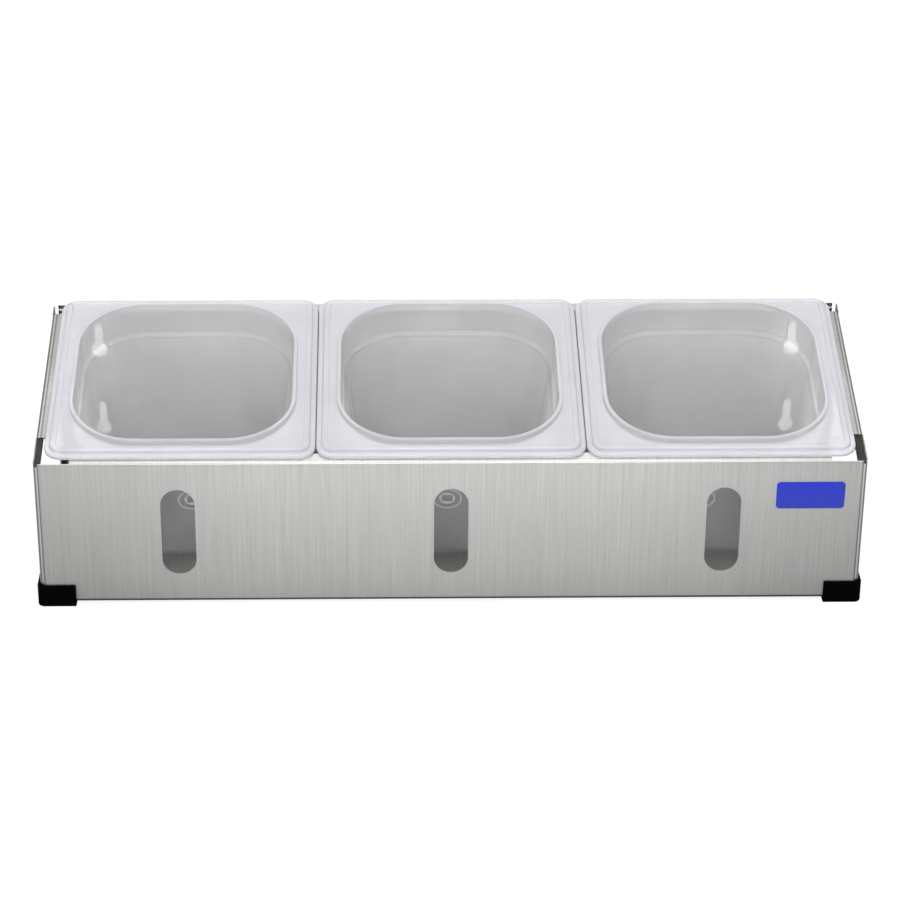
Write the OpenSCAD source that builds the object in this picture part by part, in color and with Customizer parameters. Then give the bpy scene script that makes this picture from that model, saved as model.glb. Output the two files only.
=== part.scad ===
// A sloping counter holder for three lift-out food pans.
// X runs along the front, Y from the front to the back, Z up.
// The origin is on the counter, under the middle of the holder.

/* [Folded frame] */
// Depth over the front and back panels
frame_d = 164.7; // [164.2:0.5:190]
// Height of the front panel, without the feet
front_h = 100.8; // [100.8:0.2:130]
// Slope of the pan rims, in degrees
rim_slope = 12.5; // [10:0.5:12.5]
// Thickness of the steel sheet
sheet_t = 1; // [0.8:0.1:1.2]
// Inner radius of every fold
fold_r = 1.5; // [1:0.1:2]
// Seam between the front sheet and each end panel's fold
seam = 0.3; // [0.1:0.1:0.6]

/* [Flanges under the rims] */
// Distance from the outside of an end panel to the nearest rim
end_margin = 6.5; // [5:0.5:20]
// Width of the front and back flanges
cross_flange = 10; // [8:0.5:10.5]
// Width of the end panels' flanges
end_flange = 13.5; // [9:0.5:15]
// Cut away beside each end of the front and back flanges
cross_relief = 23; // [16:1:40]
// Cut away at the front of each end flange
front_relief = 27; // [16:1:40]
// Cut away at the back of each end flange
back_relief = 12; // [8:1:30]
// Width of the end panels' return folds
return_flange = 10; // [7:1:16]
// Gap left where two return folds would meet
corner_relief = 3; // [2:0.5:6]

/* [Sight slots] */
// Distance between the middles of neighbouring slots
slot_pitch = 175; // [160:0.5:185]
// Width of a sight slot
slot_w = 22; // [16:1:30]
// Height of a sight slot
slot_h = 61.5; // [40:0.5:64]
// Height of the slots' middle above the bottom fold
slot_mid = 51.5; // [44:0.5:56]

/* [End openings] */
// Steel left above the opening, square to the slope
opening_band = 24; // [20:1:40]
// Steel left in front of the opening
opening_front = 22; // [18:1:40]
// Steel left behind the opening
opening_back = 20; // [16:1:60]
// Steel left under the opening
opening_sill = 22; // [18:1:34]
// Corner radius of the opening
opening_r = 12; // [6:1:16]

/* [Keyholes] */
// Distance from the keyholes to the outside of the nearest end panel
keyhole_in = 29; // [22:1:60]
// Height of the lower keyholes' round part above the bottom fold
keyhole_low = 43.5; // [40:0.5:60]
// Distance between the lower and upper keyholes
keyhole_rise = 59; // [50:1:62]
// Diameter of the round part
keyhole_d = 11; // [9:0.5:13]
// Width of the narrow part
keyhole_neck = 5.5; // [4:0.5:6.5]
// Height of the narrow part above the round part's middle
keyhole_up = 16.5; // [11:0.5:17]

/* [Pans] */
// Size of the pan across the front
pan_w = 172.5; // [150:0.5:200]
// Size of the pan along the slope
pan_l = 164; // [156:0.5:164]
// Depth of the pan below its seat
pan_depth = 108; // [65:1:108]
// Wall of the pan
pan_wall = 2; // [1.5:0.1:2.5]
// Gap between neighbouring pan rims
pan_gap = 0.5; // [0.3:0.1:1.5]
// Gap between the rims and the flanges that carry them
seat_gap = 0.1; // [0.05:0.05:0.3]
// Distance from the front edge to the rims, along the slope
rim_inset = 4.6; // [4:0.1:6]
// Corner radius of the rim
rim_r = 11; // [8:0.5:14]
// Width of the lip round the rim
lip_w = 3.6; // [3:0.1:4]
// Height of the lip above the seat
lip_h = 2.4; // [2:0.1:3]
// Width of the raised band inside the lip
band_w = 3.8; // [3:0.1:4]
// Height of the raised band above the seat
band_h = 5; // [4.6:0.1:6]
// Step from the raised band down to the flat margin
band_step = 0.8; // [0.4:0.1:1]
// Rounding of the rim's outer edges
rim_round = 0.5; // [0.3:0.1:0.8]
// Height of the collar round the mouth, above the seat
collar_h = 8; // [7:0.1:10]
// Width of the collar's top
collar_w = 2.6; // [2.2:0.1:2.8]
// Width of the rim on each side of the mouth
rim_side = 15.5; // [15:0.5:24]
// Width of the rim before and behind the mouth
rim_end = 12; // [11:0.5:16]
// Corner radius of the mouth
mouth_r = 42; // [30:1:50]
// How far each side wall leans in from the mouth to the base
side_taper = 13.5; // [8:0.5:22]
// How far the front and back walls lean in from the mouth to the base
end_taper = 14; // [13.5:0.5:26]
// Corner radius of the base, seen from above
base_r = 28; // [24:1:40]
// Radius between the base and the walls
base_fillet = 8; // [6:1:14]
// Depth of the stacking shoulder below the seat
shoulder_z = 16; // [10:1:24]
// Width of the stacking shoulder
shoulder_w = 2.5; // [1.5:0.1:3]
// Height of the stacking shoulder's slope
shoulder_fall = 2; // [1:0.1:4]
// Inward draft of the wall between the collar and the shoulder
wall_draft = 1; // [0.5:0.1:2]

/* [Feet] */
// Length of a corner foot along each side
foot_len = 23; // [18:1:40]
// Height of a corner foot
foot_h = 14.4; // [12:0.1:22]
// Thickness of the sole under the frame
foot_sole = 2.2; // [2:0.1:6]
// Wall of a corner foot
foot_wall = 1.8; // [1.4:0.1:2.5]
// Gap between a foot's walls and the frame
foot_gap = 0.2; // [0.1:0.1:0.4]

/* [Badge plate] */
// Width of the badge plate
badge_w = 44; // [30:1:50]
// Height of the badge plate
badge_h = 19; // [12:1:22]
// Thickness of the badge plate
badge_t = 0.6; // [0.4:0.1:1]
// Distance from the middle of the badge plate to the front's right end
badge_in = 35.5; // [28:0.5:60]
// Middle of the badge plate above the bottom fold
badge_mid = 76.5; // [70:0.5:80]
// Corner radius of the badge plate
badge_r = 2.5; // [1:0.5:5]

/* [Hidden] */
STEEL = [0.74, 0.74, 0.73];
PLASTIC = [0.88, 0.90, 0.94];
RUBBER = [0.05, 0.05, 0.05];
BLUE = [0.13, 0.17, 0.78];
// Steps along a fold and along a pan corner
fold_steps = 6;
corner_steps = 8;
fillet_steps = 4;
past = 5;
hole_fn = 48;
fold_out = fold_r + sheet_t;
pan_pitch = pan_w + pan_gap;
frame_w = pan_w + 2 * pan_pitch + 2 * end_margin;
keyhole_x = frame_w / 2 - keyhole_in;
mouth_w = pan_w - 2 * rim_side;
mouth_l = pan_l - 2 * rim_end;
base_w = mouth_w - 2 * side_taper;
base_l = mouth_l - 2 * end_taper;
front_y = -frame_d / 2;
back_y = frame_d / 2;
floor_z = foot_sole;
brow_z = floor_z + front_h;
slope_len = frame_d / cos(rim_slope);
back_z = brow_z + frame_d * tan(rim_slope);
sheet_w = frame_w - 2 * (fold_out + seam);

function unit(v) = v / norm(v);
function left_of(v) = [-v[1], v[0]];
function arc_points(c, r, a0, sweep, n) = [
    for (i = [0:n]) c + r * [cos(a0 + sweep * i / n), sin(a0 + sweep * i / n)]
];
// Points of an arc of radius r that rounds the corner b between a and c
function corner_arc(a, b, c, r, n) =
    let (u = unit(a - b), v = unit(c - b), half = acos(u * v) / 2)
    let (m = b + unit(u + v) * r / sin(half), p = b + u * r / tan(half), q = b + v * r / tan(half))
    let (a0 = atan2(p[1] - m[1], p[0] - m[0]), a1 = atan2(q[1] - m[1], q[0] - m[0]))
    arc_points(m, r, a0, (a1 - a0 + 540) % 360 - 180, n);
// A closed outline with every corner rounded
function rounded_outline(p, r, n) =
    let (k = len(p))
    [for (i = [0:k - 1]) each corner_arc(p[(i + k - 1) % k], p[i], p[(i + 1) % k], r, n)];
// A line moved to its left by d, with mitred corners
function moved_line(p, d) =
    let (k = len(p))
    [for (i = [0:k - 1])
        let (n1 = left_of(unit(p[max(i, 1)] - p[max(i, 1) - 1])))
        let (n2 = left_of(unit(p[min(i + 1, k - 1)] - p[min(i + 1, k - 1) - 1])))
        p[i] + d * (n1 + n2) / (1 + n1 * n2)];
// A line whose inner corners are rounded
function rounded_line(p, r, n) =
    let (k = len(p))
    [p[0], for (i = [1:k - 2]) each corner_arc(p[i - 1], p[i], p[i + 1], r, n), p[k - 1]];
function reversed(p) = [for (i = [len(p) - 1:-1:0]) p[i]];
// Outline of a folded sheet whose outer face follows p, with the folds turning left
function sheet_outline(p) = concat(
    rounded_line(p, fold_out, fold_steps),
    reversed(rounded_line(moved_line(p, sheet_t), fold_r, fold_steps))
);

// Moves its children to the slope: Y up the slope from the front edge, Z square to it
module on_slope() {
    translate([0, front_y, brow_z]) rotate([rim_slope, 0, 0]) children();
}

module sight_slot(x) {
    end_z = (slot_h - slot_w) / 2;
    translate([x, front_y, floor_z + slot_mid]) {
        for (s = [-1, 1])
            translate([0, 0, s * end_z]) rotate([90, 0, 0]) cylinder(d = slot_w, h = 2 * past, center = true, $fn = hole_fn);
        cube([slot_w, 2 * past, 2 * end_z], center = true);
    }
}

module keyhole(x, z) {
    translate([x, back_y, floor_z + z]) {
        rotate([90, 0, 0]) cylinder(d = keyhole_d, h = 2 * past, center = true, $fn = hole_fn);
        translate([0, 0, keyhole_up]) rotate([90, 0, 0])
            cylinder(d = keyhole_neck, h = 2 * past, center = true, $fn = hole_fn);
        translate([-keyhole_neck / 2, -past, 0]) cube([keyhole_neck, 2 * past, keyhole_up]);
    }
}

// Front panel, base and back panel, folded from one sheet
module frame_sheet() {
    slope_in = cross_flange * [cos(rim_slope), sin(rim_slope)];
    front_top = [front_y, brow_z];
    back_top = [back_y, back_z];
    path = [
        front_top + slope_in, front_top, [front_y, floor_z],
        [back_y, floor_z], back_top, back_top - slope_in
    ];
    cut = fold_out + past;
    color(STEEL) difference() {
        rotate([90, 0, 90]) linear_extrude(sheet_w, center = true) polygon(sheet_outline(path));
        for (i = [-1:1]) sight_slot(i * slot_pitch);
        for (x = [-1, 1], z = [keyhole_low, keyhole_low + keyhole_rise]) keyhole(x * keyhole_x, z);
        for (s = [0, 1]) mirror([s, 0, 0]) on_slope() {
            translate([frame_w / 2 - cross_relief, sheet_t, -cut])
                cube([cross_relief + past, cross_flange + past, cut + past]);
            translate([frame_w / 2 - cross_relief, slope_len - cross_flange - past, -fold_out * 2])
                cube([cross_relief + past, cross_flange + past - sheet_t / cos(rim_slope), cut + past]);
        }
    }
}

// A fold with its flange: the wall runs along Y, the flange along X, the fold line along Z
module fold_strip(flange, length) {
    linear_extrude(length) polygon(sheet_outline([[0, fold_out + sheet_t / 2], [0, 0], [flange, 0]]));
}

module end_panel() {
    wall_front = front_y + sheet_t + fold_out;
    wall_back = back_y - sheet_t - fold_out;
    wall_floor = floor_z + sheet_t + fold_out;
    fall = fold_out / cos(rim_slope);
    open_front = front_y + opening_front;
    open_back = back_y - opening_back;
    open_floor = floor_z + opening_sill;
    band = opening_band / cos(rim_slope);
    relief = fold_out + corner_relief;
    color(STEEL) difference() {
        union() {
            translate([-frame_w / 2, 0, 0]) rotate([90, 0, 90]) linear_extrude(sheet_t) polygon([
                [wall_front, wall_floor], [wall_back, wall_floor],
                [wall_back, height_at(wall_back) - fall], [wall_front, height_at(wall_front) - fall]
            ]);
            translate([-frame_w / 2, front_y + sheet_t, floor_z + sheet_t + relief])
                fold_strip(return_flange, front_h - relief - sheet_t - fold_out);
            translate([-frame_w / 2, back_y - sheet_t, floor_z + sheet_t + relief]) mirror([0, 1, 0])
                fold_strip(return_flange, back_z - floor_z - relief - cross_flange - sheet_t);
            translate([-frame_w / 2, wall_back - corner_relief, floor_z + sheet_t]) rotate([90, 0, 0])
                fold_strip(return_flange, wall_back - wall_front - 2 * corner_relief);
            on_slope() translate([-frame_w / 2, slope_len - back_relief, 0]) mirror([0, 0, 1])
                rotate([90, 0, 0]) fold_strip(end_flange, slope_len - back_relief - front_relief);
            for (y = [[wall_front, front_relief * cos(rim_slope) + front_y], [back_y - back_relief * cos(rim_slope), wall_back]])
                translate([-frame_w / 2, 0, 0]) rotate([90, 0, 90]) linear_extrude(sheet_t) polygon([
                    [y[0], height_at(y[0]) - 2 * fall], [y[1], height_at(y[1]) - 2 * fall],
                    [y[1], height_at(y[1])], [y[0], height_at(y[0])]
                ]);
        }
        translate([-frame_w / 2 - past, 0, 0]) rotate([90, 0, 90]) linear_extrude(2 * past)
            polygon(rounded_outline([
                [open_front, open_floor], [open_back, open_floor],
                [open_back, height_at(open_back) - band], [open_front, height_at(open_front) - band]
            ], opening_r, corner_steps));
    }
}
// Height of the sloping top plane at a place y
function height_at(y) = brow_z + (y - front_y) * tan(rim_slope);

// One ring of a pan: half width, half length, corner radius and height
function pan_ring(s) = [
    for (q = [0:3], i = [0:corner_steps])
        let (a = 90 * q + 90 * i / corner_steps)
        let (sx = (q == 0 || q == 3) ? 1 : -1, sy = (q < 2) ? 1 : -1)
        [sx * (s[0] - s[2]) + s[2] * cos(a), sy * (s[1] - s[2]) + s[2] * sin(a), s[3]]
];

// Stations of the pan's skin, from the middle of its underside over the rim to the inside base
function wall_station(half, r, z, out) = [half[0] + out, half[1] + out, r + out, z];
function base_bend(out, r_out, z_low) = [
    for (i = [0:fillet_steps])
        let (a = 90 * i / fillet_steps)
        [base_w / 2 + out - r_out * (1 - sin(a)), base_l / 2 + out - r_out * (1 - sin(a)),
            max(base_r + out - r_out * (1 - sin(a)), 1), z_low + r_out * (1 - cos(a))]
];
module pan() {
    mouth = [mouth_w, mouth_l] / 2;
    rim = [pan_w, pan_l] / 2;
    shoulder_top = mouth - wall_draft * [1, 1];
    shoulder_low = shoulder_top - shoulder_w * [1, 1];
    shoulder_low_z = -shoulder_z - shoulder_fall;
    flat_z = band_h - band_step;
    band_in = lip_w + band_w;
    stations = concat(
        base_bend(pan_wall, base_fillet + pan_wall, -pan_depth),
        [
            wall_station(shoulder_low, mouth_r - shoulder_w, shoulder_low_z, pan_wall),
            wall_station(shoulder_top, mouth_r, -shoulder_z, pan_wall),
            wall_station(mouth, mouth_r, flat_z - pan_wall, pan_wall),
            wall_station(rim, rim_r, flat_z - pan_wall, -lip_w - pan_wall),
            wall_station(rim, rim_r, 0, -lip_w - pan_wall),
            wall_station(rim, rim_r, 0, -rim_round),
            wall_station(rim, rim_r, rim_round, 0),
            wall_station(rim, rim_r, lip_h - rim_round, 0),
            wall_station(rim, rim_r, lip_h, -rim_round),
            wall_station(rim, rim_r, lip_h, -lip_w),
            wall_station(rim, rim_r, band_h - rim_round, -lip_w),
            wall_station(rim, rim_r, band_h, -lip_w - rim_round),
            wall_station(rim, rim_r, band_h, -band_in),
            wall_station(rim, rim_r, flat_z, -band_in - band_step / 2),
            wall_station(mouth, mouth_r, flat_z, collar_w),
            wall_station(mouth, mouth_r, collar_h - rim_round, collar_w),
            wall_station(mouth, mouth_r, collar_h, collar_w - rim_round),
            wall_station(mouth, mouth_r, collar_h, rim_round),
            wall_station(mouth, mouth_r, collar_h - rim_round, 0),
            wall_station(shoulder_top, mouth_r, pan_wall / 2 - shoulder_z, 0),
            wall_station(shoulder_low, mouth_r - shoulder_w, pan_wall / 2 + shoulder_low_z, 0)
        ],
        reversed(base_bend(0, base_fillet, pan_wall - pan_depth))
    );
    n = 4 * (corner_steps + 1);
    last = len(stations) - 1;
    points = [for (s = stations) each pan_ring(s)];
    sides = [
        for (k = [0:last - 1], i = [0:n - 1])
            let (j = (i + 1) % n)
            each [[k * n + i, k * n + n + i, k * n + n + j], [k * n + i, k * n + n + j, k * n + j]]
    ];
    polyhedron(
        points,
        concat([[for (i = [0:n - 1]) i]], sides, [[for (i = [n - 1:-1:0]) last * n + i]]),
        convexity = 8
    );
}
module placed_pan(i) {
    color(PLASTIC) on_slope() translate([i * pan_pitch, rim_inset + pan_l / 2, seat_gap]) pan();
}

// Plan of a foot: a square whose outer corner is rounded round the frame's fold
module foot_plan(out, reach) {
    polygon(concat(
        corner_arc([-out, reach], [-out, -out], [reach, -out], fold_out + out, corner_steps),
        [[reach, -out], [reach, reach], [-out, reach]]
    ));
}
// Corner foot in the quadrant x > 0, y > 0 from the frame's corner, with its sole at z = 0
module foot() {
    color(RUBBER) difference() {
        linear_extrude(foot_h) foot_plan(foot_wall + foot_gap, foot_len);
        translate([0, 0, foot_sole]) linear_extrude(foot_h) foot_plan(foot_gap, foot_len + past);
    }
}
module placed_foot(sx, sy) {
    mirror([sx > 0 ? 1 : 0, 0, 0]) mirror([0, sy > 0 ? 1 : 0, 0])
        translate([-frame_w / 2, front_y, 0]) foot();
}

module badge_plate() {
    half = [badge_w, badge_h] / 2;
    color(BLUE) translate([frame_w / 2 - badge_in, front_y, floor_z + badge_mid]) rotate([90, 0, 0])
        linear_extrude(badge_t) polygon(rounded_outline([
            [-half[0], -half[1]], [half[0], -half[1]], half, [-half[0], half[1]]
        ], badge_r, corner_steps));
}

frame_sheet();
end_panel();  // end_panel_left
mirror([1, 0, 0]) end_panel();  // end_panel_right
placed_pan(-1);  // pan_left
placed_pan(0);  // pan_middle
placed_pan(1);  // pan_right
placed_foot(-1, -1);  // foot_front_left
placed_foot(1, -1);  // foot_front_right
placed_foot(-1, 1);  // foot_rear_left
placed_foot(1, 1);  // foot_rear_right
badge_plate();
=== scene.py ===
# %% [markdown]
# # A sloping holder with three lift-out food pans
#
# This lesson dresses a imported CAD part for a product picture.

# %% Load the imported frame
import math

import bmesh
import bpy
from mathutils import Matrix, Vector


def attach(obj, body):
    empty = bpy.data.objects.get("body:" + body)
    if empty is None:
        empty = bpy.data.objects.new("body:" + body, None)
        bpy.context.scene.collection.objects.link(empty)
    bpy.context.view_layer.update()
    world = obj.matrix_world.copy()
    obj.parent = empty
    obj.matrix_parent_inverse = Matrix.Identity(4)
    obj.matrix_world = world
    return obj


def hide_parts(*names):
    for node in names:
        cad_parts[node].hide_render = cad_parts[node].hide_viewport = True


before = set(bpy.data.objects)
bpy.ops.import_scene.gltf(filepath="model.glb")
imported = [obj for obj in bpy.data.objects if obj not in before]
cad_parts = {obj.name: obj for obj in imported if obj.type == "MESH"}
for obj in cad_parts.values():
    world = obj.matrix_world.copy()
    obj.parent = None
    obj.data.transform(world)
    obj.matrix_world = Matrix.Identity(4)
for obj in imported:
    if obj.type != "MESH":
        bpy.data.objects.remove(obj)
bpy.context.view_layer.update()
MM = 0.001

# %% [markdown]
# ## The camera
#
# The product picture was taken from two metres away with a long lens, so the far edge is nearly as wide as
# the near one. A short lens close by would show the same object with a swollen front. The camera looks down
# by 28 degrees and stands a degree and a half to the left, and half a degree of roll sets the bottom edge as
# in the photograph. Its axes are built from those three angles, which is easier to check than a quaternion.

# %% Place the camera
LOOK_YAW = math.radians(1.51)
LOOK_DOWN = math.radians(27.77)
LOOK_ROLL = math.radians(0.45)
LOOK_AT = Vector((0.43, -22.35, 80.9)) * MM
LOOK_FROM = 1917.7 * MM
LENS = 116.8
SENSOR = 36.0
SIGHT_END = 50.0

look = Vector((
    math.sin(LOOK_YAW) * math.cos(LOOK_DOWN),
    math.cos(LOOK_YAW) * math.cos(LOOK_DOWN),
    -math.sin(LOOK_DOWN),
))
level_right = Vector((math.cos(LOOK_YAW), -math.sin(LOOK_YAW), 0))
level_up = level_right.cross(look)
right = level_right * math.cos(LOOK_ROLL) + level_up * math.sin(LOOK_ROLL)
up = level_up * math.cos(LOOK_ROLL) - level_right * math.sin(LOOK_ROLL)

camera = bpy.data.objects.new("camera", bpy.data.cameras.new("camera"))
bpy.context.collection.objects.link(camera)
camera.data.lens = LENS
camera.data.sensor_width = SENSOR
camera.data.clip_end = SIGHT_END
turn = Matrix((right, up, -look)).transposed().to_4x4()
camera.matrix_world = Matrix.Translation(LOOK_AT - look * LOOK_FROM) @ turn
bpy.context.scene.camera = camera
bpy.context.scene.view_settings.view_transform = "Standard"
print("camera at", [round(v, 3) for v in camera.matrix_world.translation])

# %% [markdown]
# ## Small helpers for materials
#
# Every finish below is a graph of nodes, and so is the sky. Small helpers keep the graphs readable: one makes
# a material, one adds a node and fills its sockets, one joins two sockets, and the others make the groups of
# nodes that come back: a ramp, a product, a noise and a bump. Numbers that are the same all over a surface
# stay on the shader's own sockets, so that they survive an export.

# %% Helpers for node graphs
def new_material(name, **sockets):
    """A material whose main shader has the given sockets set."""
    material = bpy.data.materials.new(name)
    material.use_nodes = True
    shader = material.node_tree.nodes["Principled BSDF"]
    for socket, value in sockets.items():
        shader.inputs[socket.replace("_", " ")].default_value = value
    return material, shader


def add(owner, kind, inputs=None, **settings):
    """A new node in a material or world, with its settings and the values of its sockets."""
    node = owner.node_tree.nodes.new(kind)
    for setting, value in settings.items():
        setattr(node, setting, value)
    for socket, value in (inputs or {}).items():
        node.inputs[socket].default_value = value
    return node


def join(owner, output, socket):
    owner.node_tree.links.new(output, socket)


def times(owner, first, second):
    """The product of two outputs."""
    node = add(owner, "ShaderNodeMath", operation="MULTIPLY")
    join(owner, first, node.inputs[0])
    join(owner, second, node.inputs[1])
    return node.outputs[0]


def ramp(material, factor, stops):
    """A colour ramp over factor; each stop is a place and a grey or a colour."""
    node = add(material, "ShaderNodeValToRGB")
    elements = node.color_ramp.elements
    while len(elements) < len(stops):
        elements.new(0.5)
    for element, (place, colour) in zip(elements, stops):
        element.position = place
        element.color = (*colour, 1) if isinstance(colour, tuple) else (colour, colour, colour, 1)
    join(material, factor, node.inputs["Fac"])
    return node.outputs["Color"]


def stretched_noise(material, grain, detail=4.0, roughness=0.6):
    """Noise on object coordinates; grain gives the pattern's size along X, Y and Z in metres."""
    place = add(material, "ShaderNodeTexCoord").outputs["Object"]
    mapping = add(material, "ShaderNodeMapping", {"Scale": [1 / size for size in grain]})
    noise = add(material, "ShaderNodeTexNoise", {"Scale": 1.0, "Detail": detail, "Roughness": roughness})
    join(material, place, mapping.inputs["Vector"])
    join(material, mapping.outputs["Vector"], noise.inputs["Vector"])
    return noise.outputs["Fac"]


def bump(material, shader, height, strength, distance):
    node = add(material, "ShaderNodeBump", {"Strength": strength, "Distance": distance})
    join(material, height, node.inputs["Height"])
    join(material, node.outputs["Normal"], shader.inputs["Normal"])


print("helpers ready")

# %% [markdown]
# ## The stage
#
# The floor is a wide pale sheet. To the camera and through clear plastic it should look as white as the sky
# behind it, but it should still keep a breath of the object's shadow. Pouring on more light would bleach the
# object too, so the floor's own material does it: for those rays it mixes a white emission over the lit
# colour. The sky is white for the same rays. Mirrors see it as strong as that, and for all other rays it is
# weaker. Both fall off to the left and right, so that the steel has something darker to mirror towards its
# ends.

# %% Floor
FLOOR_HALF = 6.0
FLOOR_WHITE = (0.86, 0.86, 0.86, 1)
WHITE = (1, 1, 1, 1)
SHADOW_SHARE = 0.22
FLOOR_GLOW, FLOOR_GLOW_THROUGH = 1.14, 0.8


def build_floor():
    shape = bmesh.new()
    bmesh.ops.create_grid(shape, x_segments=1, y_segments=1, size=FLOOR_HALF)
    mesh = bpy.data.meshes.new("floor")
    shape.to_mesh(mesh)
    shape.free()
    floor = bpy.data.objects.new("floor", mesh)
    bpy.context.collection.objects.link(floor)
    return floor


def seen_directly(owner, rays):
    """1 for rays from the camera or through clear plastic, 0 for all others."""
    seen = add(owner, "ShaderNodeMath", operation="MAXIMUM")
    join(owner, rays.outputs["Is Camera Ray"], seen.inputs[0])
    join(owner, rays.outputs["Is Transmission Ray"], seen.inputs[1])
    return seen.outputs[0]


def floor_material():
    material, shader = new_material("floor_white", Base_Color=FLOOR_WHITE, Roughness=0.9)
    shader.inputs["Specular IOR Level"].default_value = 0.0
    rays = add(material, "ShaderNodeLightPath")
    share = add(material, "ShaderNodeMath", {1: 1 - SHADOW_SHARE}, operation="MULTIPLY")
    white = add(material, "ShaderNodeEmission", {"Color": WHITE})
    power = add(material, "ShaderNodeMapRange", {"To Min": FLOOR_GLOW, "To Max": FLOOR_GLOW_THROUGH})
    mix = add(material, "ShaderNodeMixShader")
    out = material.node_tree.nodes["Material Output"]
    join(material, rays.outputs["Is Transmission Ray"], power.inputs["Value"])
    join(material, power.outputs["Result"], white.inputs["Strength"])
    join(material, seen_directly(material, rays), share.inputs[0])
    join(material, share.outputs[0], mix.inputs["Fac"])
    join(material, shader.outputs["BSDF"], mix.inputs[1])
    join(material, white.outputs["Emission"], mix.inputs[2])
    join(material, mix.outputs["Shader"], out.inputs["Surface"])
    return material


floor = build_floor()
floor.data.materials.append(floor_material())
print("floor is", 2 * FLOOR_HALF, "m wide")

# %% Sky
SKY_LIGHT, SKY_MIRRORED = 0.62, 1.0
SKY_SIDES = 0.35
SKY_TURN_FROM, SKY_TURN_TO = 0.45, 0.95
SKY_TINT = (0.97, 0.98, 1.0, 1)


def build_sky():
    """White behind the object; for mirrors and other surfaces darker to the left and right."""
    world = bpy.data.worlds.new("sky")
    bpy.context.scene.world = world
    world.use_nodes = True
    direction = add(world, "ShaderNodeTexCoord")
    split = add(world, "ShaderNodeSeparateXYZ")
    aside = add(world, "ShaderNodeMath", operation="ABSOLUTE")
    fade = add(
        world, "ShaderNodeMapRange",
        {"From Min": SKY_TURN_FROM, "From Max": SKY_TURN_TO, "To Min": 1.0, "To Max": SKY_SIDES},
        interpolation_type="SMOOTHSTEP",
    )
    rays = add(world, "ShaderNodeLightPath")
    power = add(world, "ShaderNodeMapRange", {"To Min": SKY_LIGHT, "To Max": SKY_MIRRORED})
    white = add(world, "ShaderNodeBackground", {"Color": WHITE})
    mix = add(world, "ShaderNodeMixShader")
    lit = world.node_tree.nodes["Background"]
    lit.inputs["Color"].default_value = SKY_TINT
    join(world, direction.outputs["Generated"], split.inputs["Vector"])
    join(world, split.outputs["X"], aside.inputs[0])
    join(world, aside.outputs[0], fade.inputs["Value"])
    join(world, rays.outputs["Is Glossy Ray"], power.inputs["Value"])
    join(world, times(world, power.outputs["Result"], fade.outputs["Result"]), lit.inputs["Strength"])
    join(world, seen_directly(world, rays), mix.inputs["Fac"])
    join(world, lit.outputs["Background"], mix.inputs[1])
    join(world, white.outputs["Background"], mix.inputs[2])
    join(world, mix.outputs["Shader"], world.node_tree.nodes["World Output"].inputs["Surface"])


build_sky()
print("sky ready")

# %% [markdown]
# ## The lamps
#
# Brushed steel shows what stands in front of it, drawn out sideways. A broad soft lamp high in front lights
# the pans and the floor before the panel. A weaker one on the left keeps the shapes round, and one overhead
# fills the pans. Area lamps are used because a point lamp would leave hard sparks on the plastic.

# %% Soft lamps
def soft_lamp(name, place, aim, width, height, power):
    data = bpy.data.lights.new(name, "AREA")
    data.shape = "RECTANGLE"
    data.size = width
    data.size_y = height
    data.energy = power
    lamp = bpy.data.objects.new(name, data)
    bpy.context.collection.objects.link(lamp)
    lamp.location = place
    lamp.rotation_euler = (Vector(aim) - Vector(place)).to_track_quat("-Z", "Y").to_euler()


# Place in metres, aim, width and height in metres, power in watts
MIDDLE = (0, 0, 0.08)
soft_lamp("lamp_front", (0.0, -1.1, 1.7), MIDDLE, 1.4, 0.8, 20)
soft_lamp("lamp_left", (-1.8, -0.4, 1.3), MIDDLE, 1.0, 1.0, 5)
soft_lamp("lamp_top", (0.1, 0.3, 2.0), MIDDLE, 1.6, 1.0, 8)
print("three lamps")

# %% [markdown]
# ## Brushed steel
#
# A belt sander leaves long fine scratches that all run one way, here straight up the front. Noise squeezed
# hard across the scratches and stretched along them gives that grain. Two sizes are laid over each other:
# hair lines under half a millimetre and softer bands a millimetre or two wide. They shade the colour a little
# and stir the roughness, and the shader's own anisotropy spreads the shine across the grain.
#
# Painted shade and painted highlights go with it. In the photograph the panel darkens towards its bottom and
# its two ends, and thin dark and bright lines run along the folds and the seams; here they are painted into
# the steel's colour as shade and highlights, and the base plate inside gets painted shade. These follow
# places on the sheet, in millimetres on its own coordinates, so they stay on the steel from every side.

# %% Places of the painted shade and highlights on the steel
STEEL = (0.60, 0.593, 0.575)
GRAIN_DARK, GRAIN_LIGHT = 0.85, 1.10
BAND_SHARE = 0.15
# Painted shade: darker on the base plate inside, towards the panel's bottom and towards its two ends
BASE_SHADE, LOW_SHADE, END_SHADE = 0.54, 0.70, 0.78
SHADE_TOP = 94.0
HALF_W = 265.75
# Painted shade and highlights across half: darkening to the end, shade in the seam, fold highlight, dark edge
# reflection
ACROSS = [
    (120.0, 1.0), (261.9, END_SHADE), (262.2, 0.3), (263.0, 0.3),
    (263.3, 1.1), (264.3, 1.1), (264.6, 0.2), (265.6, 0.2), (265.7, 0.85),
]
# Painted shade up the height, darker towards the bottom, with the base plate first
UPWARDS = [(3.3, BASE_SHADE), (3.5, LOW_SHADE), (SHADE_TOP, 1.0)]
# Painted lines on folds: front of this Y, between these heights, factor (painted shade below 1, highlight
# above)
FOLDS = [(-80.5, 0.0, 4.7, 0.25), (-79.9, 102.2, 103.2, 0.5), (-70.0, 103.2, 107.0, 1.3)]
print(len(ACROSS), "stops across,", len(UPWARDS), "up and", len(FOLDS), "folds")

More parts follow.
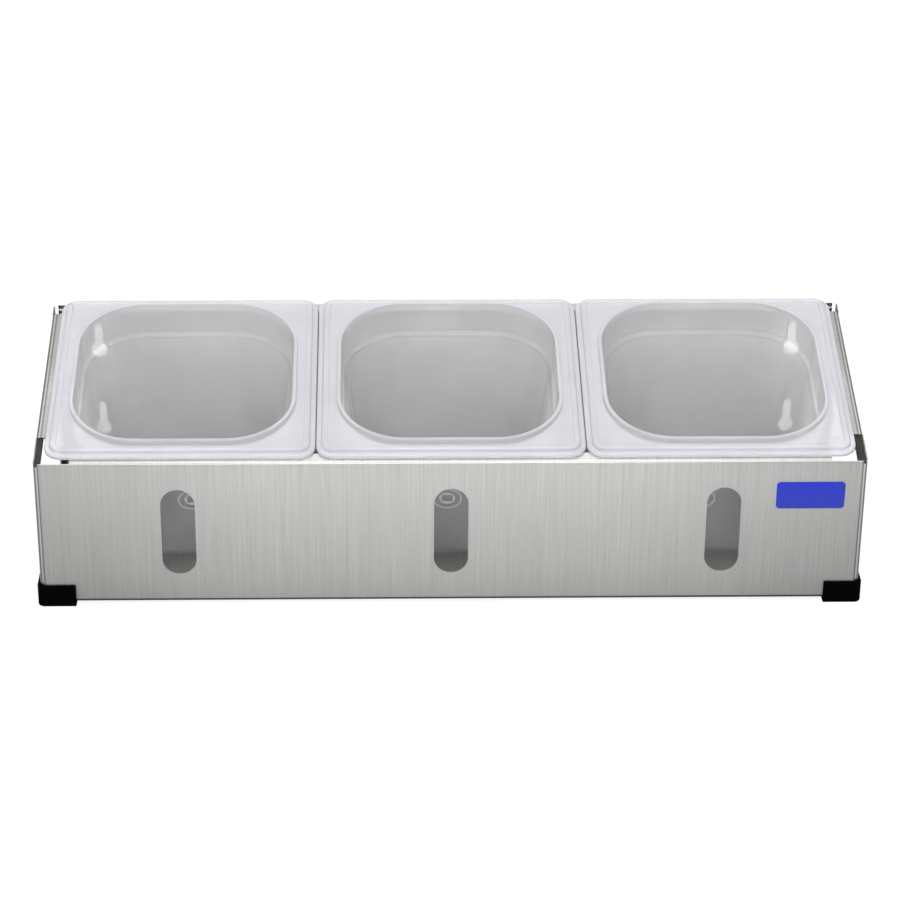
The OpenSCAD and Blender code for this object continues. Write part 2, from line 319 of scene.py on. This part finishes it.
# %% Painted shade and highlights on the steel
def scaled_ramp(material, value, stops, size):
    """A ramp whose stops are given in millimetres up to size."""
    scaled = add(material, "ShaderNodeMath", {1: 1 / (size * MM)}, operation="MULTIPLY")
    join(material, value, scaled.inputs[0])
    return ramp(material, scaled.outputs[0], [(place / size, tone) for place, tone in stops])


def is_beyond(material, value, limit, operation):
    node = add(material, "ShaderNodeMath", {1: limit * MM}, operation=operation)
    join(material, value, node.inputs[0])
    return node.outputs[0]


def shade(material):
    """Painted shade falling towards the bottom edge and the two ends, with painted lines along the folds."""
    place = add(material, "ShaderNodeTexCoord").outputs["Object"]
    split = add(material, "ShaderNodeSeparateXYZ")
    aside = add(material, "ShaderNodeMath", operation="ABSOLUTE")
    join(material, place, split.inputs["Vector"])
    join(material, split.outputs["X"], aside.inputs[0])
    across = scaled_ramp(material, aside.outputs[0], ACROSS, HALF_W)
    total = times(material, across, scaled_ramp(material, split.outputs["Z"], UPWARDS, SHADE_TOP))
    for front, low, high, tone in FOLDS:
        inside = is_beyond(material, split.outputs["Y"], front, "LESS_THAN")
        inside = times(material, inside, is_beyond(material, split.outputs["Z"], low, "GREATER_THAN"))
        inside = times(material, inside, is_beyond(material, split.outputs["Z"], high, "LESS_THAN"))
        change = add(material, "ShaderNodeMapRange", {"To Min": 1.0, "To Max": tone})
        join(material, inside, change.inputs["Value"])
        total = times(material, total, change.outputs["Result"])
    return total


print("shade ready")

# %% Steel finish
GRAIN_FROM, GRAIN_TO = 0.36, 0.64
SHINE_LOW, SHINE_HIGH = 0.28, 0.42
GRAIN_BUMP, GRAIN_DEEP = 0.12, 0.05 * MM


def brushed_steel(name, hair, band):
    """Steel with its grain given by the sizes of hair lines and bands along X, Y and Z."""
    material, shader = new_material(name, Metallic=1.0, Roughness=0.34, Anisotropic=0.55)
    hairs = stretched_noise(material, hair, detail=3.0, roughness=0.7)
    bands = stretched_noise(material, band, detail=2.0)
    both = add(material, "ShaderNodeMix", {"Factor": BAND_SHARE}, data_type="FLOAT")
    join(material, hairs, both.inputs["A"])
    join(material, bands, both.inputs["B"])
    grain = both.outputs["Result"]
    dark = tuple(GRAIN_DARK * channel for channel in STEEL)
    light = tuple(GRAIN_LIGHT * channel for channel in STEEL)
    tone = add(material, "ShaderNodeVectorMath", operation="SCALE")
    join(material, ramp(material, grain, [(GRAIN_FROM, dark), (GRAIN_TO, light)]), tone.inputs["Vector"])
    # The painted shade and highlights scale the grain's colour
    join(material, shade(material), tone.inputs["Scale"])
    join(material, tone.outputs["Vector"], shader.inputs["Base Color"])
    join(material, ramp(material, grain, [(0.3, SHINE_LOW), (0.7, SHINE_HIGH)]), shader.inputs["Roughness"])
    bump(material, shader, grain, GRAIN_BUMP, GRAIN_DEEP)
    return material


HAIR = 0.36 * MM
BAND = 1.6 * MM
LONG = 70 * MM
upright = brushed_steel("steel_brushed_upright", (HAIR, LONG, LONG), (BAND, 3 * LONG, 3 * LONG))
sideways = brushed_steel("steel_brushed_ends", (LONG, HAIR, LONG), (3 * LONG, BAND, 3 * LONG))
steel_nodes = {"frame_sheet": upright, "end_panel_left": sideways, "end_panel_right": sideways}
for node_name, finish in steel_nodes.items():
    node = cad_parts[node_name]
    node.data.materials.clear()
    node.data.materials.append(finish)
    print(node_name, "gets", finish.name)

# %% [markdown]
# ## Milky plastic
#
# The pans are polypropylene without pigment. Light goes through it, but tiny crystals scatter a part of it,
# so it looks like thin milk: the thin walls are clear enough to show the keyholes behind them, and the
# thicker rims are whiter. One shader does both: transmission lets light through with a soft blur, and what
# isn't transmitted is scattered as from white paint. A lacquer-like coat over it gives the sharp wet shine.
#
# The share of clear light differs from place to place, so there are six finishes: the rims, the walls, the
# step that the pans stack on, the base, and two for the marks at the gate. Through the sight slots the front
# wall and the base look like dark smoked glass, while the back wall is milky, so the walls get clearer
# towards the front. Their two sides are milkier again, and light up beside the grey back.

# %% Plastic finishes
CLOUD, SATIN = 22 * MM, 0.8 * MM
CLOUD_DARK = 0.96


def milky_plastic(name, clear, tint, blur, bend, shadow_clear):
    """Plastic that lets the share clear through with a little blur and scatters the rest."""
    material, shader = new_material(
        name, Roughness=blur, IOR=bend, Coat_Weight=0.7, Coat_IOR=1.42, Coat_Roughness=0.06,
    )
    shader.inputs["Transmission Weight"].default_value = clear
    cloud = stretched_noise(material, (CLOUD, CLOUD, CLOUD), detail=2.0)
    deep = tuple(CLOUD_DARK * channel for channel in tint)
    join(material, ramp(material, cloud, [(0.3, deep), (0.7, tint)]), shader.inputs["Base Color"])
    satin = stretched_noise(material, (SATIN, SATIN, SATIN), detail=1.0)
    bump(material, shader, satin, 0.05, 0.02 * MM)
    rays = add(material, "ShaderNodeLightPath")
    share = add(material, "ShaderNodeMath", {1: shadow_clear}, operation="MULTIPLY")
    through = add(material, "ShaderNodeBsdfTransparent")
    mix = add(material, "ShaderNodeMixShader")
    join(material, rays.outputs["Is Shadow Ray"], share.inputs[0])
    join(material, share.outputs[0], mix.inputs["Fac"])
    join(material, shader.outputs["BSDF"], mix.inputs[1])
    join(material, through.outputs["BSDF"], mix.inputs[2])
    join(material, mix.outputs["Shader"], material.node_tree.nodes["Material Output"].inputs["Surface"])
    return material


# Clear share, colour, blur, bend of light, and the share of light that shadows let through
CLEAR_FRONT, CLEAR_BACK = 0.94, 0.60
# The rims' colour is darker than the walls': painted shade, making up for the lamp light on them from above
rim_plastic = milky_plastic("plastic_milky_rim", 0.50, (0.83, 0.833, 0.863), 0.14, 1.12, 0.35)
wall_plastic = milky_plastic("plastic_milky_wall", CLEAR_BACK, (0.97, 0.96, 0.96), 0.02, 1.015, 0.7)
step_plastic = milky_plastic("plastic_milky_step", 0.94, (0.93, 0.93, 0.94), 0.02, 1.015, 0.7)
# The base's grey colour is painted shade, for the dark under the pans seen through the sight slots
base_plastic = milky_plastic("plastic_milky_base", 0.92, (0.68, 0.68, 0.69), 0.04, 1.015, 0.6)
gate_plastic = milky_plastic("plastic_milky_gate", 0.30, (0.17, 0.17, 0.175), 0.25, 1.1, 0.2)
ring_plastic = milky_plastic("plastic_milky_ring", 0.45, (0.60, 0.60, 0.61), 0.1, 1.05, 0.5)
print("six milky finishes")

# %% Clearer towards the front
CLEAR_FROM, CLEAR_TO = -25 * MM, 40 * MM
SIDE_FROM, SIDE_TO = 50 * MM, 66 * MM
SIDE_FADE_FROM, SIDE_FADE_TO = 0.0, 32 * MM
SIDE_CLEAR = 0.5


def clear_towards_front(material, pitch):
    """The walls let more light through towards the front and less at the sides of each pan."""
    place = add(material, "ShaderNodeTexCoord").outputs["Object"]
    split = add(material, "ShaderNodeSeparateXYZ")
    clear = add(
        material, "ShaderNodeMapRange",
        {"From Min": CLEAR_FROM, "From Max": CLEAR_TO, "To Min": CLEAR_FRONT, "To Max": CLEAR_BACK},
        interpolation_type="SMOOTHSTEP",
    )
    join(material, place, split.inputs["Vector"])
    join(material, split.outputs["Y"], clear.inputs["Value"])
    own = add(material, "ShaderNodeMath", {1: pitch * MM / 2, 2: -pitch * MM / 2}, operation="WRAP")
    aside = add(material, "ShaderNodeMath", operation="ABSOLUTE")
    side_clear = add(
        material, "ShaderNodeMapRange",
        {"From Min": SIDE_FADE_FROM, "From Max": SIDE_FADE_TO, "To Min": SIDE_CLEAR, "To Max": 1.0},
    )
    side = add(
        material, "ShaderNodeMapRange", {"From Min": SIDE_FROM, "From Max": SIDE_TO, "To Min": 1.0},
        interpolation_type="SMOOTHSTEP",
    )
    join(material, split.outputs["Y"], side_clear.inputs["Value"])
    join(material, side_clear.outputs["Result"], side.inputs["To Max"])
    join(material, split.outputs["X"], own.inputs[0])
    join(material, own.outputs[0], aside.inputs[0])
    join(material, aside.outputs[0], side.inputs["Value"])
    share = times(material, clear.outputs["Result"], side.outputs["Result"])
    join(material, share, material.node_tree.nodes["Principled BSDF"].inputs["Transmission Weight"])


print("the front walls let", CLEAR_FRONT, "through and the back ones", CLEAR_BACK)

# %% [markdown]
# ## The slope and the pans' sizes
#
# The pans hang square to the slope, so they are modelled flat, with the seat of the rim at height zero, and
# turned onto the slope once at the end. The sizes are those of the solids, in millimetres.

# %% Sizes of a pan
RIM_SLOPE = math.radians(12.5)
FRONT_Y = -82.35
BROW_Z = 103.0
RIM_INSET = 4.6
SEAT_GAP = 0.1
PAN_W, PAN_L, PAN_DEPTH = 172.5, 164.0, 108.0
PAN_PITCH = PAN_W + 0.5
WALL = 2.0
RIM_R = 11.0
LIP_W, LIP_H = 3.6, 2.4
BAND_W, BAND_H, BAND_STEP = 3.8, 5.0, 0.8
COLLAR_W, COLLAR_H = 2.6, 8.0
MOUTH_W, MOUTH_L, MOUTH_R = 141.5, 140.0, 42.0
BASE_W, BASE_L, BASE_R, BASE_FILLET = 114.5, 112.0, 28.0, 8.0
SHOULDER_Z, SHOULDER_W = 16.0, 2.5
FLAT_Z = BAND_H - BAND_STEP
BAND_IN = LIP_W + BAND_W

slope = (
    Matrix.Translation((0, FRONT_Y, BROW_Z))
    @ Matrix.Rotation(RIM_SLOPE, 4, "X")
    @ Matrix.Translation((0, RIM_INSET + PAN_L / 2, SEAT_GAP))
)
print("middle of a pan's seat:", [round(v, 1) for v in slope.translation])

# %% [markdown]
# ## One skin through the whole pan
#
# A moulded pan is one skin: up the outside, over the rounded edge, across the margin, over the collar round
# the mouth and down the inside. The shape starts as a flat rectangle with its corners bevelled round. The
# edge of that rectangle is then extruded again and again, and each new ring is moved to the next station of
# the wall's section. A station is a rounded rectangle: half width, half length, corner radius and height.
# Short arcs of stations round every edge make the plastic catch the light as a moulding does.

# %% Stations of the section
def station(width, length, radius, out, height):
    """A rounded rectangle of the given outline, grown by out."""
    return (width / 2 + out, length / 2 + out, radius + out, height)


def arc(width, length, radius, centre, bend, start, end, steps):
    """Stations along an arc of the section, round centre = (out, height)."""
    stations = []
    for step in range(steps + 1):
        angle = math.radians(start + (end - start) * step / steps)
        out = centre[0] + bend * math.cos(angle)
        stations.append(station(width, length, radius, out, centre[1] + bend * math.sin(angle)))
    return stations


RIM = (PAN_W, PAN_L, RIM_R)
MOUTH = (MOUTH_W, MOUTH_L, MOUTH_R)
BASE = (BASE_W, BASE_L, BASE_R)
STEP_DRAFT = 2.0
STEP_TOP = (MOUTH_W - STEP_DRAFT, MOUTH_L - STEP_DRAFT, MOUTH_R)
STEP_LOW = (STEP_TOP[0] - 2 * SHOULDER_W, STEP_TOP[1] - 2 * SHOULDER_W, MOUTH_R - SHOULDER_W)
LIP_ROUND, BAND_ROUND, STEP_ROUND, COLLAR_ROUND = 1.2, 1.15, 0.3, 0.9
INNER_ROUND, SEAT_ROUND, FOOT_ROUND, NECK_ROUND = 0.6, 0.2, 0.25, 1.0
# The shoulder's stations: outline, how far out, and how far above the shoulder
OUTER_SHOULDER = (
    (STEP_LOW, WALL, -3.2), (STEP_LOW, WALL + 0.3, -2), (STEP_TOP, WALL - 0.3, 0), (STEP_TOP, WALL, 1),
)
INNER_SHOULDER = ((STEP_TOP, 0.1, 2.2), (STEP_TOP, -0.4, 1), (STEP_LOW, 0.4, -1), (STEP_LOW, 0, -2.4))

outside = (
    arc(*BASE, (-BASE_FILLET, BASE_FILLET - PAN_DEPTH + WALL), BASE_FILLET + WALL, -90, 0, 8)
    + [station(*outline, out, rise - SHOULDER_Z) for outline, out, rise in OUTER_SHOULDER]
    + [station(*MOUTH, WALL, FLAT_Z - WALL - NECK_ROUND), station(*MOUTH, WALL + NECK_ROUND, FLAT_Z - WALL)]
)
seat = -LIP_W - WALL
edge = (
    [station(*RIM, seat - INNER_ROUND, FLAT_Z - WALL), station(*RIM, seat, FLAT_Z - WALL - INNER_ROUND)]
    + [station(*RIM, seat, SEAT_ROUND), station(*RIM, seat + SEAT_ROUND, 0)]
    + arc(*RIM, (-FOOT_ROUND, FOOT_ROUND), FOOT_ROUND, -90, 0, 3)
    + arc(*RIM, (-LIP_ROUND, LIP_H - LIP_ROUND), LIP_ROUND, 0, 90, 5)
    + arc(*RIM, (BAND_ROUND - LIP_W, LIP_H + BAND_ROUND), -BAND_ROUND, 90, 0, 3)
    + arc(*RIM, (-LIP_W - BAND_ROUND, BAND_H - BAND_ROUND), BAND_ROUND, 0, 90, 4)
    + arc(*RIM, (STEP_ROUND - BAND_IN, BAND_H - STEP_ROUND), STEP_ROUND, 90, 180, 3)
    + arc(*RIM, (-BAND_IN - STEP_ROUND, FLAT_Z + STEP_ROUND), -STEP_ROUND, 180, 90, 3)
)
collar = (
    arc(*MOUTH, (COLLAR_W + INNER_ROUND, FLAT_Z + INNER_ROUND), -INNER_ROUND, 90, 0, 4)
    + arc(*MOUTH, (COLLAR_W - COLLAR_ROUND, COLLAR_H - COLLAR_ROUND), COLLAR_ROUND, 0, 90, 5)
    + arc(*MOUTH, (COLLAR_ROUND, COLLAR_H - COLLAR_ROUND), COLLAR_ROUND, 90, 180, 5)
)
inside = (
    [station(*outline, out, rise - SHOULDER_Z) for outline, out, rise in INNER_SHOULDER]
    + arc(*BASE, (-BASE_FILLET, BASE_FILLET - PAN_DEPTH + WALL), BASE_FILLET, 0, -90, 8)
)
print("stations outside, edge, collar and inside:", len(outside), len(edge), len(collar), len(inside))

# %% [markdown]
# The bevel of the first rectangle sets how many points each corner has. Every later ring keeps them: a
# point's direction from its own corner's centre never changes, only the centre and the radius do. That is
# how one loop can go from the tight corners of the rim to the wide ones of the mouth without a twist.

# %% Extrude the skin
CORNER_STEPS = 16


def corner_centre(point, ring):
    return Vector((
        math.copysign(ring[0] - ring[2], point.x),
        math.copysign(ring[1] - ring[2], point.y),
        0,
    ))


def move_ring(points, old, new):
    """Moves a ring of points from one rounded rectangle to the next."""
    for vert in points:
        flat = Vector((vert.co.x, vert.co.y, 0))
        direction = (flat - corner_centre(flat, old)) / old[2]
        vert.co = corner_centre(flat, new) + direction * new[2]
        vert.co.z = new[3]


def only(items, kind):
    """The items of one kind: corners, edges or faces."""
    return [item for item in items if isinstance(item, kind)]


def rounded_plate(shape, ring):
    """A flat face shaped as the ring; returns its outer edges."""
    bmesh.ops.create_grid(shape, x_segments=1, y_segments=1, size=1)
    bmesh.ops.scale(shape, vec=(ring[0], ring[1], 1), verts=shape.verts)
    bmesh.ops.bevel(
        shape, geom=shape.verts[:], offset=ring[2], offset_type="OFFSET", affect="VERTICES",
        segments=CORNER_STEPS, profile=0.5, material=-1,
    )
    bmesh.ops.translate(shape, vec=(0, 0, ring[3]), verts=shape.verts)
    return [item for item in shape.edges if item.is_boundary]


def extrude_skin(shape, stations):
    """Extrudes a closed skin through the stations and closes it on the last one."""
    rim_edges = rounded_plate(shape, stations[0])
    for old, new in zip(stations, stations[1:]):
        grown = bmesh.ops.extrude_edge_only(shape, edges=rim_edges)["geom"]
        move_ring(only(grown, bmesh.types.BMVert), old, new)
        rim_edges = [item for item in only(grown, bmesh.types.BMEdge) if item.is_boundary]
    bmesh.ops.contextual_create(shape, geom=rim_edges)
    bmesh.ops.recalc_face_normals(shape, faces=shape.faces)


print("points on a ring:", 4 * (CORNER_STEPS + 1))

# %% [markdown]
# ## Marks that the mould leaves
#
# A mould leaves witness marks: round ones on the margin near the front corners, where ejector pins pushed
# the pan out, and a ring, a boss and a dark stub on the inside of the base, at the gate where the plastic
# flowed in. They are a fraction of a millimetre high, and the ones on the base show through the sight slots.
# Each ring is a small profile spun round its own axis.

# %% Rings spun from a profile
def spun_ring(shape, centre, inner, outer, low, high, steps):
    """A flat ring with a rectangular section, spun round the vertical through centre."""
    corners = [(inner, low), (outer, low), (outer, high), (inner, high)]
    points = [shape.verts.new(Vector((centre[0] + r, centre[1], z))) for r, z in corners]
    section = [shape.edges.new((points[k], points[(k + 1) % 4])) for k in range(4)]
    bmesh.ops.spin(
        shape, geom=points + section, cent=(centre[0], centre[1], 0), axis=(0, 0, 1),
        angle=math.tau, steps=steps, use_merge=True,
    )


print("rings ready")

# %% Marks on a pan
RIM_FINISH, WALL_FINISH, STEP_FINISH, BASE_FINISH, GATE_FINISH, RING_FINISH = range(6)
INNER_BASE = WALL - PAN_DEPTH
GATE_R, GATE_W, GATE_H = 10.0, 1.0, 0.4
BOSS_R, BOSS_W, BOSS_H = 5.5, 3.0, 0.6
NUB_W, NUB_L, NUB_H, NUB_MIDDLE = 7.5, 6.0, 0.8, 0.5
PIN_R, PIN_W, PIN_H = 3.5, 0.5, 0.16
PIN_INSET_X, PIN_INSET_Y = 11.5, 11.0
BASE_LIFT, PIN_LIFT = 0.02, 0.01


def mould_marks(shape):
    """The gate's ring, boss and stub on the base, and the ejector marks on the margin."""
    skin = set(shape.faces)
    low = INNER_BASE + BASE_LIFT
    spun_ring(shape, (0, 0), GATE_R - GATE_W, GATE_R, low, INNER_BASE + GATE_H, 48)
    spun_ring(shape, (0, 0), BOSS_R - BOSS_W, BOSS_R, low, INNER_BASE + BOSS_H, 32)
    for face in shape.faces:
        if face not in skin:
            face.material_index = RING_FINISH
    place = Matrix.Translation((0, 0, INNER_BASE + NUB_MIDDLE)) @ Matrix.Diagonal((NUB_W, NUB_L, NUB_H, 1))
    nub = bmesh.ops.create_cube(shape, size=1, matrix=place)["verts"]
    for face in {face for vert in nub for face in vert.link_faces}:
        face.material_index = GATE_FINISH
    for side in (-1, 1):
        pin = (side * (PAN_W / 2 - PIN_INSET_X), -PAN_L / 2 + PIN_INSET_Y)
        spun_ring(shape, pin, PIN_R - PIN_W, PIN_R, FLAT_Z + PIN_LIFT, FLAT_Z + PIN_H, 24)


print("gate ring", 2 * GATE_R, "mm, ejector marks", 2 * PIN_R, "mm")

# %% [markdown]
# ## Finish a piece
#
# All moulded pieces end the same way: doubles merged, normals turned outwards, sharp edges marked by their
# angle so that the rest shades smoothly, sizes brought from millimetres to metres, and the piece tied to
# the body that it moves with.

# %% From shape to piece
SHARP = math.radians(32)
DOUBLES = 0.0005


def finish_piece(name, shape, body, replaced, materials):
    bmesh.ops.remove_doubles(shape, verts=shape.verts, dist=DOUBLES)
    bmesh.ops.recalc_face_normals(shape, faces=shape.faces)
    for face in shape.faces:
        face.smooth = True
    for item in shape.edges:
        if item.is_manifold and item.calc_face_angle() > SHARP:
            item.smooth = False
    bmesh.ops.scale(shape, vec=(MM, MM, MM), verts=shape.verts)
    mesh = bpy.data.meshes.new(name)
    shape.to_mesh(mesh)
    shape.free()
    for material in materials:
        mesh.materials.append(material)
    piece = bpy.data.objects.new(name, mesh)
    bpy.context.collection.objects.link(piece)
    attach(piece, body)
    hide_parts(replaced)
    print(name, "has", len(mesh.polygons), "faces")


print("doubles closer than", DOUBLES, "mm are merged")

# %% Build the three pans
RIM_ZONE = -3.0
BASE_ZONE, BASE_TILT = 12.0 - PAN_DEPTH, 0.3
STEP_ZONE, STEP_HALF, STEP_TILT = -SHOULDER_Z - 1, 3.0, 0.25


def plastic_zone(middle, normal):
    """The finish of a face: of the rim, the thin base, the step that pans stack on, or the walls."""
    if middle.z > RIM_ZONE:
        return RIM_FINISH
    if middle.z < BASE_ZONE and abs(normal.z) > BASE_TILT:
        return BASE_FINISH
    if abs(middle.z - STEP_ZONE) < STEP_HALF and normal.z > STEP_TILT:
        return STEP_FINISH
    return WALL_FINISH


clear_towards_front(wall_plastic, PAN_PITCH)
plastics = [rim_plastic, wall_plastic, step_plastic, base_plastic, gate_plastic, ring_plastic]


def build_pan(node, place):
    shape = bmesh.new()
    extrude_skin(shape, outside + edge + collar + inside)
    shape.normal_update()
    for face in shape.faces:
        face.material_index = plastic_zone(face.calc_center_median(), face.normal)
    mould_marks(shape)
    seated = Matrix.Translation((place * PAN_PITCH, 0, 0)) @ slope
    bmesh.ops.transform(shape, matrix=seated, verts=shape.verts)
    finish_piece(f"{node}_moulded", shape, f"{node}_body", node, plastics)


for place, node in zip((-1, 0, 1), ("pan_left", "pan_middle", "pan_right")):
    build_pan(node, place)

# %% [markdown]
# ## Corner feet
#
# The feet are soft black caps pushed over the bottom corners. Each starts as a flat plan: a strip of faces
# for the wall, which follows the folded corner of the steel, and one face for the pocket beside it. The whole
# plan is pushed up to make the sole, and the strip alone is pushed up again to make the wall. A last small
# bevel softens every edge, because a moulded edge is never quite sharp.

# %% Black plastic
SKIN_GRAIN = 0.5 * MM


def black_plastic():
    material, shader = new_material("plastic_black", Base_Color=(0.0008, 0.0008, 0.0008, 1))
    shader.inputs["Specular IOR Level"].default_value = 0.015
    skin = stretched_noise(material, (SKIN_GRAIN, SKIN_GRAIN, SKIN_GRAIN), detail=2.0)
    join(material, ramp(material, skin, [(0.3, 0.45), (0.7, 0.62)]), shader.inputs["Roughness"])
    bump(material, shader, skin, 0.15, 0.03 * MM)
    return material


foot_plastic = black_plastic()
print("black plastic ready")

# %% Build the four feet
FRAME_W, FRAME_D = 531.5, 164.7
FOOT_OUT, FOOT_GAP, FOOT_LEN = 2.0, 0.2, 23.0
FOOT_H, FOOT_SOLE = 14.4, 2.2
FOLD_OUT = 2.5
FOOT_STEPS = 8
FOOT_SHARP = math.radians(60)
FOOT_SOFT = 0.45
SOFT_STEPS = 3


def foot_side(out):
    """Points along one side of the frame, round its corner and along the other side, moved outwards."""
    radius = FOLD_OUT + out
    centre = radius - out
    points = [(-out, FOOT_LEN, 0)]
    for step in range(FOOT_STEPS + 1):
        angle = math.pi * (1 + step / FOOT_STEPS / 2)
        points.append((centre + radius * math.cos(angle), centre + radius * math.sin(angle), 0))
    return points + [(FOOT_LEN, -out, 0)]


def push_up(shape, faces, height):
    """Extrudes faces upwards and returns the faces on top."""
    grown = bmesh.ops.extrude_face_region(shape, geom=faces)["geom"]
    bmesh.ops.translate(shape, vec=(0, 0, height), verts=only(grown, bmesh.types.BMVert))
    return only(grown, bmesh.types.BMFace)


def soften(shape, edges, offset):
    """A small round bevel along the edges."""
    bmesh.ops.bevel(
        shape, geom=edges, offset=offset, offset_type="OFFSET", affect="EDGES",
        segments=SOFT_STEPS, profile=0.5, material=-1,
    )


def build_foot(node, side_x, side_y):
    shape = bmesh.new()
    outer, inner = ([shape.verts.new(point) for point in foot_side(out)] for out in (FOOT_OUT, FOOT_GAP))
    wall = [shape.faces.new(four) for four in zip(outer, outer[1:], inner[1:], inner)]
    pocket = shape.faces.new([*inner, shape.verts.new((FOOT_LEN, FOOT_LEN, 0))])
    sole_top = push_up(shape, [*wall, pocket], FOOT_SOLE)
    push_up(shape, [face for face in sole_top if len(face.verts) == 4], FOOT_H - FOOT_SOLE)
    bmesh.ops.recalc_face_normals(shape, faces=shape.faces)
    hard = [item for item in shape.edges if item.is_manifold and item.calc_face_angle() > FOOT_SHARP]
    soften(shape, hard, FOOT_SOFT)
    place = Matrix.Translation((side_x * FRAME_W / 2, side_y * FRAME_D / 2, 0))
    turn_in = Matrix.Diagonal((-side_x, -side_y, 1, 1))
    bmesh.ops.transform(shape, matrix=place @ turn_in, verts=shape.verts)
    finish_piece(f"{node}_cap", shape, "frame", node, [foot_plastic])


for end, side_y in (("front", -1), ("rear", 1)):
    for hand, side_x in (("left", -1), ("right", 1)):
        build_foot(f"foot_{end}_{hand}", side_x, side_y)

# %% [markdown]
# ## The badge plate
#
# The small blue plate is a thin plastic sheet with rounded corners, slightly paler towards its lower edge.
# It is left bare. The plate is a bevelled rectangle, extruded by its thickness and softened at the front.

# %% Build the badge plate
BADGE_W, BADGE_H, BADGE_T, BADGE_R = 44.0, 19.0, 0.6, 2.5
BADGE_SOFT, RIPPLE = 0.25, 6 * MM
BADGE_X, BADGE_Z = 230.25, 78.7


def blue_plastic():
    material, shader = new_material("plastic_blue", Roughness=0.22)
    shader.inputs["Specular IOR Level"].default_value = 0.12
    place = add(material, "ShaderNodeTexCoord").outputs["Object"]
    split = add(material, "ShaderNodeSeparateXYZ")
    height = add(material, "ShaderNodeMapRange", {
        "From Min": (BADGE_Z - BADGE_H / 2) * MM, "From Max": (BADGE_Z + BADGE_H / 2) * MM,
    })
    join(material, place, split.inputs["Vector"])
    join(material, split.outputs["Z"], height.inputs["Value"])
    colours = [(0.0, (0.040, 0.060, 0.47)), (1.0, (0.028, 0.048, 0.55))]
    join(material, ramp(material, height.outputs["Result"], colours), shader.inputs["Base Color"])
    ripple = stretched_noise(material, (RIPPLE, RIPPLE, RIPPLE), detail=1.0)
    bump(material, shader, ripple, 0.08, 0.05 * MM)
    return material


def build_badge():
    shape = bmesh.new()
    rounded_plate(shape, (BADGE_W / 2, BADGE_H / 2, BADGE_R, 0))
    push_up(shape, shape.faces[:], BADGE_T)
    front = [item for item in shape.edges if all(vert.co.z > BADGE_T / 2 for vert in item.verts)]
    soften(shape, front, BADGE_SOFT)
    place = Matrix.Translation((BADGE_X, FRONT_Y, BADGE_Z)) @ Matrix.Rotation(math.radians(90), 4, "X")
    bmesh.ops.transform(shape, matrix=place, verts=shape.verts)
    finish_piece("badge_blank", shape, "frame", "badge_plate", [blue_plastic()])


build_badge()
